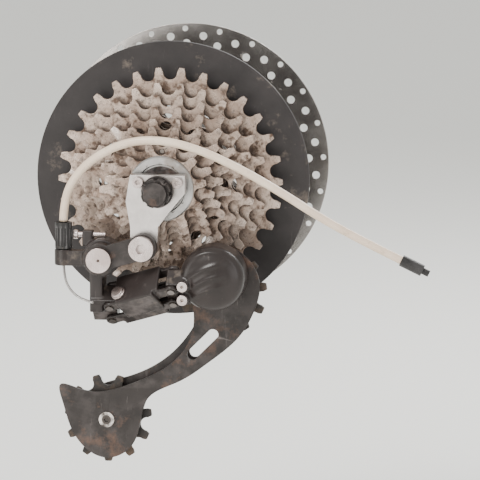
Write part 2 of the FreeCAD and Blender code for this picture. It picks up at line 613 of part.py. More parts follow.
def make_anchor():
    """The clamp bolt on the outer link's lower edge, with its washer."""
    start = V(9.0, -8.2, -4.0)
    head = Part.makeCylinder(3.4, 2.2, start, V(0, 1, 0))
    washer = Part.makeCylinder(4.2, 1.2, start + V(0, 1.25, 0), V(0, 1, 0))
    made = group("cable_anchor_bolt", [head.fuse(washer).removeSplitter()])
    tilted(made, REAR - MOVE_DIR * PIN_OFFSET, LINK_TILT)


def make_p_knuckle():
    cx, cz = number(D["cage_pivot_x"]), number(D["cage_pivot_z"])
    housing = cylinder("p_housing", D["knuckle_r"], 15.0, (cx, -79.5, cz))
    crown = cylinder("p_crown", D["knuckle_r"] - 4.0, 5.0, (cx, -84.0, cz))
    eye = number(D["link_eye_r"]) - 0.3
    pins = cut("p_pins", pin_block("p_block", -eye, 9.8), pin_bores("p_pin_bore"))
    tilted(pins, FRONT, KNUCKLE_TILT)
    tools = [cylinder("p_bore", 4.05, 15.0, (cx, -79.0, cz)),
             cylinder("p_spring_room", 12.0, 10.0, (cx, -77.5, cz))]
    screws = [(15.8, -50.5), (15.8, -58.0)]
    tools += [cylinder("p_screw_bore", 1.6, 20.0, (x, -92.0, z)) for x, z in screws]
    keep(cut("p_knuckle", fuse("p_solid", [housing, crown, pins]), tools), "p_knuckle")
    group("limit_screws", [bolt(1.5, 2.9, -89.9, -87.5, -76.0, x, z, 1.0) for x, z in screws])
    group("p_spring", [coil(8.5, 1.0, 4, 2.3, (cx, -76.0, cz))])


# ---------------------------------------------------------------- cage and pulleys
WINDOW_R = 3.1


def cage_plate(label, outline, low, holes):
    """A pressed plate whose outline is one smooth closed curve through a few points."""
    curve = Part.BSplineCurve()
    curve.interpolate([V(x, low, z) for x, z in outline], PeriodicFlag=True)
    thick = number(D["cage_thick"])
    plate = Part.Face(Part.Wire(curve.toShape())).extrude(V(0, thick, 0))
    for x, z, radius in holes:
        plate = plate.cut(Part.makeCylinder(radius, 10, V(x, low - 4, z), V(0, 1, 0)))
    slot_a, slot_b = V(29.0, low - 4, -81.5), V(17.5, low - 4, -93.0)
    along = slot_b - slot_a
    ends = [Part.makeCylinder(WINDOW_R, 10, place, V(0, 1, 0)) for place in (slot_a, slot_b)]
    window = ends[0].fuse(ends[1])
    across = V(along.z, 0, -along.x)
    across.normalize()
    across *= WINDOW_R
    corners = [slot_a + across, slot_b + across, slot_b - across, slot_a - across]
    window = window.fuse(Part.Face(Part.makePolygon(corners + corners[:1])).extrude(V(0, 10, 0)))
    item = doc.addObject("Part::Feature", label)
    item.Shape = plate.cut(window)
    return keep(item, label)


def make_cage():
    gap, thick, mid = (number(D[k]) for k in ("cage_gap", "cage_thick", "pulley_y"))
    gx, gz, tx, tz = (number(D[k]) for k in ("guide_x", "guide_z", "tension_x", "tension_z"))
    cx, cz = number(D["cage_pivot_x"]), number(D["cage_pivot_z"])
    outer = [(31, -31), (46, -36), (55, -51), (52, -68), (44, -82), (27, -97), (9, -109), (-8, -119),
             (-12, -132), (-18, -147), (-31, -153), (-43, -148), (-52, -135), (-56, -122), (-57.5, -112),
             (-47, -114), (-32, -115), (-16, -110), (2, -101), (13, -90), (18, -77), (17, -60), (18, -40)]
    inner = [(34, -44), (46, -49), (50, -60), (44, -76), (33, -91), (14, -105), (-8, -118), (-14, -134),
             (-22, -147), (-35, -149), (-47, -140), (-49, -124), (-38, -114), (-20, -108), (1, -97),
             (14, -83), (20, -70), (22, -52)]
    bolts = [(gx, gz, 2.45), (tx, tz, 2.45)]
    cage_plate("cage_outer", outer, mid - gap - thick, bolts + [(cx, cz, 4.04)])
    cage_plate("cage_inner", inner, mid + gap, bolts)
    group("p_axle", [Part.makeCylinder(4.0, 17.0, V(cx, -78.8, cz), V(0, 1, 0))])
    out_face = mid - gap - thick
    in_face = mid + gap + thick
    group("pulley_bolts", [bolt(2.4, 4.3 if x < 0 else 2.39, out_face - (1.6 if x < 0 else 0.02),
                                out_face - 0.01, in_face + 0.6, x, z, 1.5)
                           for x, z in ((gx, gz), (tx, tz))])
    bushes = [Part.makeCylinder(3.4, gap * 2 - 0.1, V(x, mid - gap + 0.05, z), V(0, 1, 0)).cut(
        Part.makeCylinder(2.43, 20, V(x, mid - 10, z), V(0, 1, 0))) for x, z in ((gx, gz), (tx, tz))]
    group("pulley_bushes", bushes)
    for label, x, z in (("guide_pulley", "guide_x", "guide_z"), ("tension_pulley", "tension_x", "tension_z")):
        body = new_body(label)
        half = D["pulley_thick"] * 0.5
        tip = pitch_radius(11) + 2.2
        turn(body, [(3.45, -3.5), (8.0, -3.5), (8.0, -half), (tip, -half), (tip, half), (8.0, half),
                    (8.0, 3.5), (3.45, 3.5)])
        slots(body, 0.0, 8.0, 5, lambda s: circle(s, (0.0, 12.8), 2.6))
        cut_teeth(body, 0.0, 11)
        body.Placement = FreeCAD.Placement(V(number(D[x]), mid, number(D[z])), FreeCAD.Rotation())
        body.setExpression("Placement.Base.x", D[x].text)
        body.setExpression("Placement.Base.z", D[z].text)
        keep(body, label)


# ---------------------------------------------------------------- cable and housing
HOUSING_ROUTE = [
    (-54.0, -68.0, -18.5), (-53.5, -68.0, -5.0), (-45.5, -68.8, 9.5), (-32.0, -70.5, 20.5),
    (-15.0, -72.5, 27.8), (4.0, -74.0, 28.6), (24.0, -74.5, 23.6), (45.0, -74.0, 14.0),
    (68.0, -72.5, 1.0), (93.0, -71.0, -15.0), (118.0, -70.0, -28.0), (142.0, -69.5, -39.5)]
WIRE_ROUTE = [
    (-54.0, -68.0, -43.2), (-53.5, -68.6, -50.8), (-49.5, -71.5, -57.2), (-43.0, -75.5, -61.0),
    (-35.5, -79.0, -62.2)]


def tube_along(label, route, radius):
    """A round tube on straight runs joined by tangent arcs as large as the runs allow."""
    points = [V(*p) for p in route]
    edges = []
    start = points[0]
    radii = []
    for before, corner, after in zip(points, points[1:], points[2:]):
        back, ahead = before - corner, after - corner
        turned = math.pi - back.getAngle(ahead)
        bend = 0.45 * min(back.Length, ahead.Length) / math.tan(turned / 2)
        radii.append(round(bend, 1))
        reach = bend * math.tan(turned / 2)
        back.normalize()
        ahead.normalize()
        inward = back + ahead
        inward.normalize()
        a, b = corner + back * reach, corner + ahead * reach
        middle = corner + inward * (bend / math.cos(turned / 2) - bend)
        edges.append(Part.LineSegment(start, a).toShape())
        edges.append(Part.Arc(a, middle, b).toShape())
        start = b
    edges.append(Part.LineSegment(start, points[-1]).toShape())
    path = Part.Wire(edges)
    first = points[1] - points[0]
    section = Part.Wire(Part.makeCircle(radius, points[0], first))
    shape = path.makePipeShell([section], True, False)
    expected = math.pi * radius ** 2 * path.Length
    print(label, "radii", radii, "length", round(path.Length, 1), "volume", round(shape.Volume / expected, 4))
    return shape, points[-1], points[-1] - points[-2]


def make_cables():
    radius = number(D["housing_r"])
    shape, end, out = tube_along("cable_housing", HOUSING_ROUTE, radius)
    group("cable_housing", [shape])
    out.normalize()
    shell = Part.makeCylinder(radius + 0.9, 13.0, end - out * 8.0, out)
    room = Part.makeCylinder(radius + 0.1, 8.02, end - out * 8.02, out)
    stub = Part.makeCylinder(radius - 0.5, 4.0, end + out * 4.9, out)
    group("housing_ferrule", [shell.cut(room).fuse(stub).removeSplitter()])
    wire, _, _ = tube_along("shift_cable", WIRE_ROUTE, 0.7)
    group("shift_cable", [wire])
    group("return_spring", [coil(2.6, 0.5, 12, 1.3, (11.0, 0, 0), (1, 0, 0))])
    tilted(PARTS[-1], REAR, LINK_TILT)


def check(items):
    for item in doc.Objects:
        if "Invalid" in item.State or "Error" in item.State:
            raise RuntimeError("failed feature " + item.Name + " " + item.Label)
    for item in items:
        if item.Shape.isNull() or not item.Shape.isValid():
            raise RuntimeError("bad shape " + item.Label)


def main():
    make_axle()
    make_quick_release()
    make_shell()
    make_freehub()
    make_driver()
    make_cassette()
    make_discs()
    make_hanger()
    make_b_knuckle()
    make_adjuster()
    make_link("outer_link", -1)
    make_link("inner_link", 1)
    make_anchor()
    make_p_knuckle()
    make_cage()
    make_cables()
    doc.recompute()
    check(PARTS)
    os.makedirs("parts", exist_ok=True)
    for item in PARTS:
        item.Shape.exportStep("parts/" + item.Label + ".step")
        print(item.Label, len(item.Shape.Solids), round(item.Shape.Volume, 1))


main()
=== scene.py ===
import json
import math

import bmesh
import bpy
from mathutils import Matrix, Vector


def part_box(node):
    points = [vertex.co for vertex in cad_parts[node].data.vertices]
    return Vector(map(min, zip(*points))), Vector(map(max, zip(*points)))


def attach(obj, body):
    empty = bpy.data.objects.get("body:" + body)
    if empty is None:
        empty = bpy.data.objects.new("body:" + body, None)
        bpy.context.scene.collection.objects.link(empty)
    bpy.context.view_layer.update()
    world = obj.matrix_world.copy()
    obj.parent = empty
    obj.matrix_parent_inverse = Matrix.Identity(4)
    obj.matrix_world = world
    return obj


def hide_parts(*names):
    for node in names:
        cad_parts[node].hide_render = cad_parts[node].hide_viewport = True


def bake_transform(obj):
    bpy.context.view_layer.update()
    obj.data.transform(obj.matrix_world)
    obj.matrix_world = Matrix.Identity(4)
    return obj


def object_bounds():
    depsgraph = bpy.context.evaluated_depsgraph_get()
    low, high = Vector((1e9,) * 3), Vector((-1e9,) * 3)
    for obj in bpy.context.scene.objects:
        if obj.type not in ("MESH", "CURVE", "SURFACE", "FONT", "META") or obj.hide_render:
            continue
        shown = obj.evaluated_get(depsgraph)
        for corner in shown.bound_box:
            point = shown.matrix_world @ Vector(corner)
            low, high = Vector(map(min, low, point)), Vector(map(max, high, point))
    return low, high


# The looks of a bicycle rear hub with its cassette and derailleur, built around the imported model.
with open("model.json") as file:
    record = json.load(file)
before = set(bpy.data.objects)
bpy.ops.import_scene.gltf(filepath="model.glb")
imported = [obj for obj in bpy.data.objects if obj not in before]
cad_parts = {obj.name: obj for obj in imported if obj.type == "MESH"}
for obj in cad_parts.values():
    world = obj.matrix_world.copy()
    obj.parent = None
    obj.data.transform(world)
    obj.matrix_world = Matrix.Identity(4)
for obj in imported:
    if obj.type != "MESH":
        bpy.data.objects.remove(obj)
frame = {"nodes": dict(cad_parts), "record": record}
NODES = frame["nodes"]
CAD_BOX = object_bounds()
BODY_OF = {n: b for b, members in frame["record"]["behaviour"]["bodies"].items() for n in members}
SLOT_OF = {s["node"]: s["material_slot"] for s in frame["record"]["subparts"]}
MM = 0.001
FLOOR_DROP = 80 * MM  # room below the object for the poses in which the cage hangs lower
CAMERA_AZIMUTH, CAMERA_ELEVATION, CAMERA_DISTANCE = math.radians(8), math.radians(9), 2.5
CAMERA_LENS = 330


# ---------------------------------------------------------------- camera, lights and floor
def middle_of(box):
    low, high = Vector(box[0]), Vector(box[1])
    return (low + high) / 2


def place_camera():
    target = middle_of(CAD_BOX)
    level = math.cos(CAMERA_ELEVATION)
    away = Vector((math.sin(CAMERA_AZIMUTH) * level, -math.cos(CAMERA_AZIMUTH) * level,
                   math.sin(CAMERA_ELEVATION)))
    data = bpy.data.cameras.new("camera")
    data.lens = CAMERA_LENS
    data.clip_end = 20
    camera = bpy.data.objects.new("camera", data)
    camera.location = target + away * CAMERA_DISTANCE
    camera.rotation_euler = (-away).to_track_quat("-Z", "Y").to_euler()
    bpy.context.scene.collection.objects.link(camera)
    bpy.context.scene.camera = camera


def area_light(name, offset, size, power, colour):
    data = bpy.data.lights.new(name, "AREA")
    data.shape = "RECTANGLE"
    data.size, data.size_y = size
    data.energy = power
    data.color = colour
    light = bpy.data.objects.new(name, data)
    target = middle_of(CAD_BOX)
    light.location = target + Vector(offset)
    light.rotation_euler = (target - light.location).to_track_quat("-Z", "Y").to_euler()
    bpy.context.scene.collection.objects.link(light)


def make_studio():
    area_light("key", (-0.55, -0.8, 1.05), (0.5, 0.35), 15, (1.0, 0.98, 0.95))
    area_light("fill", (0.9, -0.9, 0.25), (0.5, 0.8), 3, (0.96, 0.97, 1.0))
    area_light("rim", (0.35, 0.9, 0.8), (0.9, 0.5), 14, (1.0, 1.0, 1.0))
    area_light("low", (-0.5, -0.8, -0.05), (0.6, 0.3), 2.0, (1.0, 0.97, 0.93))
    world = bpy.data.worlds.new("studio")
    bpy.context.scene.world = world
    world.use_nodes = True
    world.node_tree.nodes["Background"].inputs[0].default_value = (0.93, 0.93, 0.90, 1)
    world.node_tree.nodes["Background"].inputs[1].default_value = 1.1
    floor_z = CAD_BOX[0][2] - FLOOR_DROP
    bpy.ops.mesh.primitive_plane_add(size=12, location=(0, 0, floor_z))
    floor = bpy.context.object
    floor.name = "floor"
    material = bpy.data.materials.new("floor_paint")
    material.use_nodes = True
    links, nodes = material.node_tree.links, material.node_tree.nodes
    shader = nodes["Principled BSDF"]
    shader.inputs["Roughness"].default_value = 0.75
    noise = nodes.new("ShaderNodeTexNoise")
    noise.inputs["Scale"].default_value = 6
    ramp = nodes.new("ShaderNodeValToRGB")
    ramp.color_ramp.elements[0].color = (0.86, 0.86, 0.83, 1)
    ramp.color_ramp.elements[1].color = (0.90, 0.90, 0.87, 1)
    links.new(noise.outputs["Fac"], ramp.inputs["Fac"])
    links.new(ramp.outputs["Color"], shader.inputs["Base Color"])
    floor.data.materials.append(material)


# ---------------------------------------------------------------- materials
class Graph:
    """Short names for building a node material."""

    def __init__(self, name):
        self.material = bpy.data.materials.new(name)
        self.material.use_nodes = True
        self.nodes = self.material.node_tree.nodes
        self.links = self.material.node_tree.links
        self.shader = self.nodes["Principled BSDF"]
        self.place = self.add("ShaderNodeTexCoord").outputs["Object"]

    def add(self, kind, **settings):
        node = self.nodes.new(kind)
        for key, value in settings.items():
            setattr(node, key, value)
        return node

    def join(self, source, target):
        self.links.new(source, target)

    def maths(self, operation, a, b=0.0):
        node = self.add("ShaderNodeMath", operation=operation)
        for socket, value in zip(node.inputs, (a, b)):
            if isinstance(value, (int, float)):
                socket.default_value = value
            else:
                self.join(value, socket)
        return node.outputs[0]

    def noise(self, scale, detail=6.0, rough=0.6, at=None):
        node = self.add("ShaderNodeTexNoise")
        node.inputs["Scale"].default_value = scale
        node.inputs["Detail"].default_value = detail
        node.inputs["Roughness"].default_value = rough
        self.join(at or self.place, node.inputs["Vector"])
        return node.outputs["Fac"]

    def ramp(self, factor, low, high):
        """0 below low, 1 above high."""
        node = self.add("ShaderNodeMapRange")
        node.inputs["From Min"].default_value = low
        node.inputs["From Max"].default_value = high
        self.join(factor, node.inputs["Value"])
        return node.outputs[0]

    def blend(self, factor, a, b):
        node = self.add("ShaderNodeMix", data_type="RGBA")
        self.join(factor, node.inputs["Factor"])
        for socket, value in ((node.inputs[6], a), (node.inputs[7], b)):
            if isinstance(value, tuple):
                socket.default_value = (*value, 1)
            else:
                self.join(value, socket)
        return node.outputs[2]

    def stretched(self, scales):
        node = self.add("ShaderNodeMapping")
        node.inputs["Scale"].default_value = scales
        self.join(self.place, node.inputs["Vector"])
        return node.outputs[0]

    def turned(self):
        """Coordinates that change with the radius from the axle only, for lathe marks."""
        split = self.add("ShaderNodeSeparateXYZ")
        self.join(self.place, split.inputs[0])
        x2 = self.maths("MULTIPLY", split.outputs[0], split.outputs[0])
        z2 = self.maths("MULTIPLY", split.outputs[2], split.outputs[2])
        radius = self.maths("SQRT", self.maths("ADD", x2, z2))
        join = self.add("ShaderNodeCombineXYZ")
        self.join(radius, join.inputs[0])
        self.join(split.outputs[1], join.inputs[1])
        return join.outputs[0]

    def edges(self):
        """High along sharp convex edges, where paint and dirt rub off."""
        return self.ramp(self.add("ShaderNodeNewGeometry").outputs["Pointiness"], 0.53, 0.62)

    def occlusion_shade(self, reach):
        """High in gaps and inner corners, from ambient occlusion: a mask for painted shade there."""
        node = self.add("ShaderNodeAmbientOcclusion", samples=8)
        node.inputs["Distance"].default_value = reach
        return self.maths("SUBTRACT", 1.0, node.outputs["AO"])

    def finish(self, colour, rough, bumps, metal=0.0, coat=0.0, specular=0.5):
        self.join(colour, self.shader.inputs["Base Color"])
        self.join(rough, self.shader.inputs["Roughness"])
        self.shader.inputs["Metallic"].default_value = metal
        self.shader.inputs["Coat Weight"].default_value = coat
        self.shader.inputs["Specular IOR Level"].default_value = specular
        last = None
        for height, distance, strength in bumps:
            bump = self.add("ShaderNodeBump")
            bump.inputs["Distance"].default_value = distance
            bump.inputs["Strength"].default_value = strength
            self.join(height, bump.inputs["Height"])
            if last:
                self.join(last, bump.inputs["Normal"])
            last = bump.outputs[0]
        if last:
            self.join(last, self.shader.inputs["Normal"])
        return self.material

    def roughness(self, factor, low, high):
        node = self.add("ShaderNodeMapRange")
        node.inputs["To Min"].default_value = low
        node.inputs["To Max"].default_value = high
        self.join(factor, node.inputs["Value"])
        return node.outputs[0]


DUST = (0.30, 0.24, 0.19)
GREASE = (0.16, 0.105, 0.07)
RUST = (0.20, 0.105, 0.065)


def metal(name, bright, dark, rough=(0.2, 0.45), dust=0.62, marks="brushed", dirt=DUST):
    """Bare metal with tool marks, a cloudy oxide tone, settled dirt above the given threshold, and painted
    shade in the dirt colour in gaps and inner corners.
    """
    g = Graph(name)
    coords = g.turned() if marks == "turned" else g.stretched((1.0, 1.0, 0.12))
    lines = g.noise(2600 if marks == "turned" else 1500, 3, 0.7, coords)
    cloud = g.noise(70)
    colour = g.blend(g.ramp(cloud, 0.35, 0.7), dark, bright)
    colour = g.blend(g.maths("MULTIPLY", g.ramp(lines, 0.3, 0.7), 0.25), colour, dark)
    soil = g.ramp(g.noise(45, 9, 0.68), dust, dust + 0.16)
    # Painted shade: ambient occlusion darkens gaps and inner corners toward the dirt colour, so soil holds
    # both the dust patches and this painted shade.
    gap_shade = g.ramp(g.occlusion_shade(3 * MM), 0.42, 0.85)
    soil = g.maths("MAXIMUM", soil, g.maths("MULTIPLY", gap_shade, 0.85))
    colour = g.blend(soil, colour, dirt)
    level = g.maths("ADD", g.maths("MULTIPLY", cloud, 0.6), g.maths("MULTIPLY", soil, 0.9))
    shine = g.roughness(level, rough[0], rough[1])
    material = g.finish(colour, shine, [(lines, 0.00003, 0.35), (soil, 0.00012, 0.5)])
    g.join(g.maths("SUBTRACT", 1.0, g.maths("MULTIPLY", soil, 0.85)), g.shader.inputs["Metallic"])
    return material


def greasy_sprocket(name, shift):
    """Steel plate under brown grease and pale grit, rubbed bright on the teeth, with painted shade
    near-black in the gaps.
    """
    g = Graph(name)
    moved = g.add("ShaderNodeMapping")
    moved.inputs["Location"].default_value = (shift * 0.031, shift * 0.017, shift * 0.023)
    g.join(g.place, moved.inputs["Vector"])
    grit = g.noise(420, 10, 0.75, moved.outputs[0])
    clumps = g.noise(120, 8, 0.7, moved.outputs[0])
    patches = g.noise(34, 6, 0.6, moved.outputs[0])
    rings = g.noise(1300, 2, 0.6, g.turned())
    colour = g.blend(g.ramp(patches, 0.40, 0.62), (0.30, 0.205, 0.155), (0.50, 0.39, 0.32))
    colour = g.blend(g.maths("MULTIPLY", g.ramp(rings, 0.45, 0.62), 0.35), colour, (0.20, 0.135, 0.10))
    colour = g.blend(g.ramp(clumps, 0.53, 0.62), colour, (0.11, 0.067, 0.045))
    colour = g.blend(g.maths("MULTIPLY", g.ramp(grit, 0.53, 0.60), 0.85), colour, (0.06, 0.037, 0.026))
    bare = g.maths("MULTIPLY", g.edges(), g.ramp(clumps, 0.62, 0.42))
    colour = g.blend(bare, colour, (0.85, 0.76, 0.70))
    # Painted shade: near-black between the cogs and in the gaps, from ambient occlusion.
    gap_shade = g.ramp(g.occlusion_shade(8 * MM), 0.30, 0.85)
    colour = g.blend(gap_shade, colour, (0.022, 0.014, 0.010))
    shine = g.roughness(g.ramp(clumps, 0.42, 0.66), 0.27, 0.62)
    material = g.finish(colour, shine, [(clumps, 0.0004, 0.4), (grit, 0.00012, 0.45), (rings, 0.00004, 0.4)])
    clean = g.maths("SUBTRACT", 0.72, g.maths("MULTIPLY", g.ramp(clumps, 0.5, 0.66), 0.55))
    g.join(g.maths("MAXIMUM", clean, bare), g.shader.inputs["Metallic"])
    return material


def coated(name, base, worn, grain=900, rough=(0.32, 0.6), dust=0.56, dirt=DUST, metal_wear=0.7):
    """Black paint or moulded plastic: fine grain, scuffs, rubbed edges and dust in patches."""
    g = Graph(name)
    fine = g.noise(grain, 4, 0.6)
    cloud = g.noise(32, 7, 0.65)
    scuff = g.noise(240, 8, 0.75, g.stretched((1.0, 1.0, 0.16)))
    colour = g.blend(g.ramp(cloud, 0.35, 0.75), base, tuple(c * 1.9 + 0.006 for c in base))
    colour = g.blend(g.maths("MULTIPLY", g.ramp(scuff, 0.60, 0.72), 0.35), colour, worn)
    rub = g.maths("MULTIPLY", g.edges(), g.ramp(g.noise(130, 6), 0.40, 0.60))
    colour = g.blend(g.maths("MULTIPLY", rub, metal_wear), colour, worn)
    soil = g.maths("MULTIPLY", g.ramp(g.noise(60, 9, 0.7), dust, dust + 0.18), 0.6)
    colour = g.blend(soil, colour, dirt)
    shine = g.roughness(g.maths("ADD", cloud, g.maths("MULTIPLY", soil, 0.8)), rough[0], rough[1])
    return g.finish(colour, shine, [(fine, 0.00005, 0.35), (soil, 0.00015, 0.5)], specular=0.35)


def sleeve(name):
    """Cream cable sleeve, yellowed and grimy along patches."""
    g = Graph(name)
    cloud = g.noise(55, 7, 0.62)
    grime = g.noise(210, 8, 0.75)
    colour = g.blend(g.ramp(cloud, 0.35, 0.7), (0.86, 0.71, 0.56), (0.74, 0.56, 0.42))
    colour = g.blend(g.maths("MULTIPLY", g.ramp(grime, 0.56, 0.74), 0.55), colour, (0.38, 0.27, 0.19))
    shine = g.roughness(cloud, 0.26, 0.5)
    return g.finish(colour, shine, [(grime, 0.00008, 0.4)], coat=0.25)


def pulley_bolt():
    """Dark bolt heads with a painted highlight: a bright ring round the socket."""
    g = Graph("pulley_bolt_steel")
    split = g.add("ShaderNodeSeparateXYZ")
    g.join(g.place, split.inputs[0])
    x = g.maths("ADD", split.outputs[0], 31.0 * MM)
    z = g.maths("ADD", split.outputs[2], 131.0 * MM)
    radius = g.maths("SQRT", g.maths("ADD", g.maths("MULTIPLY", x, x), g.maths("MULTIPLY", z, z)))
    # Painted highlight: bright colour beyond 2.5 to 2.8 mm from the tension pulley bolt's centre, broken up
    # by noise.
    highlight_ring = g.maths("MULTIPLY", g.ramp(radius, 2.5 * MM, 2.8 * MM), g.ramp(g.noise(90, 6), 0.38, 0.5))
    lines = g.noise(1800, 3)
    colour = g.blend(highlight_ring, (0.05, 0.042, 0.038), (0.80, 0.74, 0.70))
    colour = g.blend(g.maths("MULTIPLY", g.ramp(lines, 0.5, 0.7), 0.4), colour, (0.2, 0.15, 0.12))
    material = g.finish(colour, g.roughness(lines, 0.2, 0.5), [(lines, 0.00003, 0.4)])
    g.join(g.maths("ADD", g.maths("MULTIPLY", highlight_ring, 0.6), 0.4), g.shader.inputs["Metallic"])
    return material


def tooth_count(node):
    """The number in a sprocket's name, such as 30 in sprocket_30t."""
    return int(node.removeprefix("sprocket_").removesuffix("t"))


def make_table():
    """Every material but the sprockets', by the name of its slot."""
    black, grey = (0.014, 0.0105, 0.0095), (0.27, 0.23, 0.22)
    rows = [
        (metal, "hub_alloy", (0.62, 0.61, 0.60), (0.36, 0.35, 0.34), (0.28, 0.55), 0.55, "turned"),
        (metal, "axle_steel", (0.52, 0.51, 0.50), (0.28, 0.27, 0.26), (0.25, 0.5), 0.58, "turned"),
        (metal, "bearing_steel", (0.82, 0.82, 0.84), (0.6, 0.6, 0.62), (0.08, 0.2), 0.7),
        (metal, "spring_steel", (0.44, 0.43, 0.43), (0.22, 0.21, 0.2), (0.25, 0.45), 0.6),
        (metal, "silver_alloy", (0.80, 0.76, 0.74), (0.52, 0.48, 0.46), (0.24, 0.46), 0.60),
        (metal, "bolt_steel", (0.74, 0.66, 0.64), (0.46, 0.38, 0.36), (0.2, 0.4), 0.60),
        (coated, "black_steel", black, grey, 1400, (0.26, 0.5), 0.55, RUST),
        (metal, "driver_steel", (0.42, 0.39, 0.36), (0.2, 0.17, 0.15), (0.3, 0.6), 0.5, "turned", GREASE),
        (coated, "spacer_plastic", (0.03, 0.025, 0.02), (0.2, 0.15, 0.1), 700, (0.4, 0.7), 0.5, GREASE),
        (coated, "protector_plastic", (0.017, 0.014, 0.014), (0.12, 0.10, 0.10), 1100, (0.42, 0.66), 0.58,
               DUST, 0.3),
        (metal, "rotor_steel", (0.70, 0.67, 0.64), (0.45, 0.42, 0.40), (0.18, 0.38), 0.62, "turned"),
        (coated, "knuckle_paint", (0.017, 0.0125, 0.0115), (0.26, 0.22, 0.21), 800, (0.2, 0.42), 0.60,
               DUST, 0.3),
        (metal, "link_pin_steel", (0.30, 0.27, 0.26), (0.16, 0.14, 0.13), (0.25, 0.45), 0.55),
        (coated, "pulley_plastic", (0.012, 0.010, 0.009), (0.12, 0.09, 0.07), 900, (0.35, 0.65), 0.47,
               GREASE, 0.4),
        (coated, "adjuster_plastic", (0.012, 0.011, 0.011), (0.2, 0.19, 0.19), 1200, (0.3, 0.5), 0.6),
        (sleeve, "housing_cream"),
        (metal, "wire_steel", (0.62, 0.61, 0.6), (0.35, 0.33, 0.32), (0.25, 0.5), 0.56)]
    return {name: make(name, *settings) for make, name, *settings in rows}


def make_materials():
    """Give every node of the frame its material, and return the table for the new pieces."""
    table = make_table()
    for node, slot in SLOT_OF.items():
        mesh = NODES[node].data
        if slot in table:
            material = table[slot]
        else:
            material = greasy_sprocket(node, len(node) + tooth_count(node) * 0.7)
        for index in range(max(1, len(mesh.materials))):
            if index < len(mesh.materials):
                mesh.materials[index] = material
            else:
                mesh.materials.append(material)
    NODES["pulley_bolts"].data.materials[0] = pulley_bolt()
    return table


# ---------------------------------------------------------------- pieces made from the frame's own shapes
def stand_in(node, suffix="look"):
    """A free copy of a CAD node that rides with it and is shown in its place."""
    mesh = NODES[node].data.copy()
    piece = bpy.data.objects.new(node + "_" + suffix, mesh)
    bpy.context.scene.collection.objects.link(piece)
    edit = bmesh.new()
    edit.from_mesh(mesh)
    bmesh.ops.remove_doubles(edit, verts=edit.verts, dist=1e-6)
    bmesh.ops.recalc_face_normals(edit, faces=edit.faces)
    edit.to_mesh(mesh)
    edit.free()
    return piece


def apply_modifiers(piece):
    bpy.context.view_layer.update()
    evaluated = piece.evaluated_get(bpy.context.evaluated_depsgraph_get())
    mesh = bpy.data.meshes.new_from_object(evaluated)
    piece.modifiers.clear()
    piece.data = mesh


def clear_normals(piece):
    """Drop the imported split normals, so that shading follows the new shape."""
    layer = piece.data.attributes.get("custom_normal")
    if layer:
        piece.data.attributes.remove(layer)


def settle(piece, node):
    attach(piece, BODY_OF[node])
    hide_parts(node)


def bevelled(node, width, segments=2, angle=35):
    """Hard edges broken by a small round, as on any machined or moulded piece."""
    piece = stand_in(node)
    clear_normals(piece)
    for face in piece.data.polygons:
        face.use_smooth = True
    flat = piece.modifiers.new("flat", "DECIMATE")
    flat.decimate_type = "DISSOLVE"
    flat.angle_limit = math.radians(1.0)
    bevel = piece.modifiers.new("bevel", "BEVEL")
    bevel.width = width
    bevel.segments = segments
    bevel.limit_method = "ANGLE"
    bevel.angle_limit = math.radians(angle)
    bevel.use_clamp_overlap = True
    weighted = piece.modifiers.new("weighted", "WEIGHTED_NORMAL")
    weighted.mode = "FACE_AREA"
    weighted.weight = 100
    apply_modifiers(piece)
    settle(piece, node)
    return piece


def add_lobe(mesh, centre, radii, turned=0.0):
    """Join a stretched ball to a mesh, tipped in the side view by an angle in degrees."""
    build = bmesh.new()
    build.from_mesh(mesh)
    place = (Matrix.Translation(Vector(centre) * MM) @ Matrix.Rotation(math.radians(turned), 4, "Y")
             @ Matrix.Diagonal((*(r * MM for r in radii), 1)))
    bmesh.ops.create_icosphere(build, subdivisions=5, radius=1.0, matrix=place)
    build.to_mesh(mesh)
    build.free()


def cast(node, voxel, rounds, lobes=()):
    """A cast or forged piece: remeshed finely and relaxed, so every edge and inner corner is rounded."""
    piece = stand_in(node)
    clear_normals(piece)
    for lobe in lobes:
        add_lobe(piece.data, *lobe)
    remesh = piece.modifiers.new("remesh", "REMESH")
    remesh.mode = "VOXEL"
    remesh.voxel_size = voxel
    remesh.adaptivity = 0
    smooth = piece.modifiers.new("smooth", "SMOOTH")
    smooth.factor = 0.5
    smooth.iterations = rounds
    material = NODES[node].data.materials[0]
    apply_modifiers(piece)
    piece.data.materials.clear()
    piece.data.materials.append(material)
    for face in piece.data.polygons:
        face.use_smooth = True
    settle(piece, node)
    return piece


# The front knuckle's dome, in millimetres: its centre and radius, then the relief on its face.
KNUCKLE = Vector((31.0, -79.3, -47.0))
KNUCKLE_R = 17.9
RIDGE_HEIGHT, SHOULDER_HEIGHT = 0.75, 0.6
RIDGES_END, RIDGES_FADE = 9.0, 6.0


def make_front_knuckle():
    """The big rounded lobe that carries the cage, with a swept ridge and bosses round its two screws."""
    screws = [((15.8, -83.0, z), (3.9, 3.9, 3.7)) for z in (-50.5, -58.0)]
    dome = [(KNUCKLE, (KNUCKLE_R, 8.0, KNUCKLE_R))]
    piece = cast("p_knuckle", 0.5 * MM, 10, dome + screws)
    for vertex in piece.data.vertices:
        place = vertex.co / MM - KNUCKLE
        out = math.hypot(place.x, place.z) / KNUCKLE_R
        if place.y > 1.0 or out > 1.02:
            continue
        angle = math.atan2(place.z, place.x)
        sweep = place.z - 0.35 * place.x + 0.018 * place.x ** 2
        ridges = sum(math.exp(-((sweep - level) / 1.5) ** 2) for level in (-5.0, 1.0, 7.5))
        shoulder = math.exp(-((out - 0.86) / 0.07) ** 2) * (0.5 + 0.5 * math.cos(angle - 2.2))
        fade = max(0.0, 1.0 - out ** 3) * min(1.0, max(0.0, (RIDGES_END - place.x) / RIDGES_FADE))
        vertex.co.y -= (RIDGE_HEIGHT * ridges * fade + SHOULDER_HEIGHT * shoulder) * MM


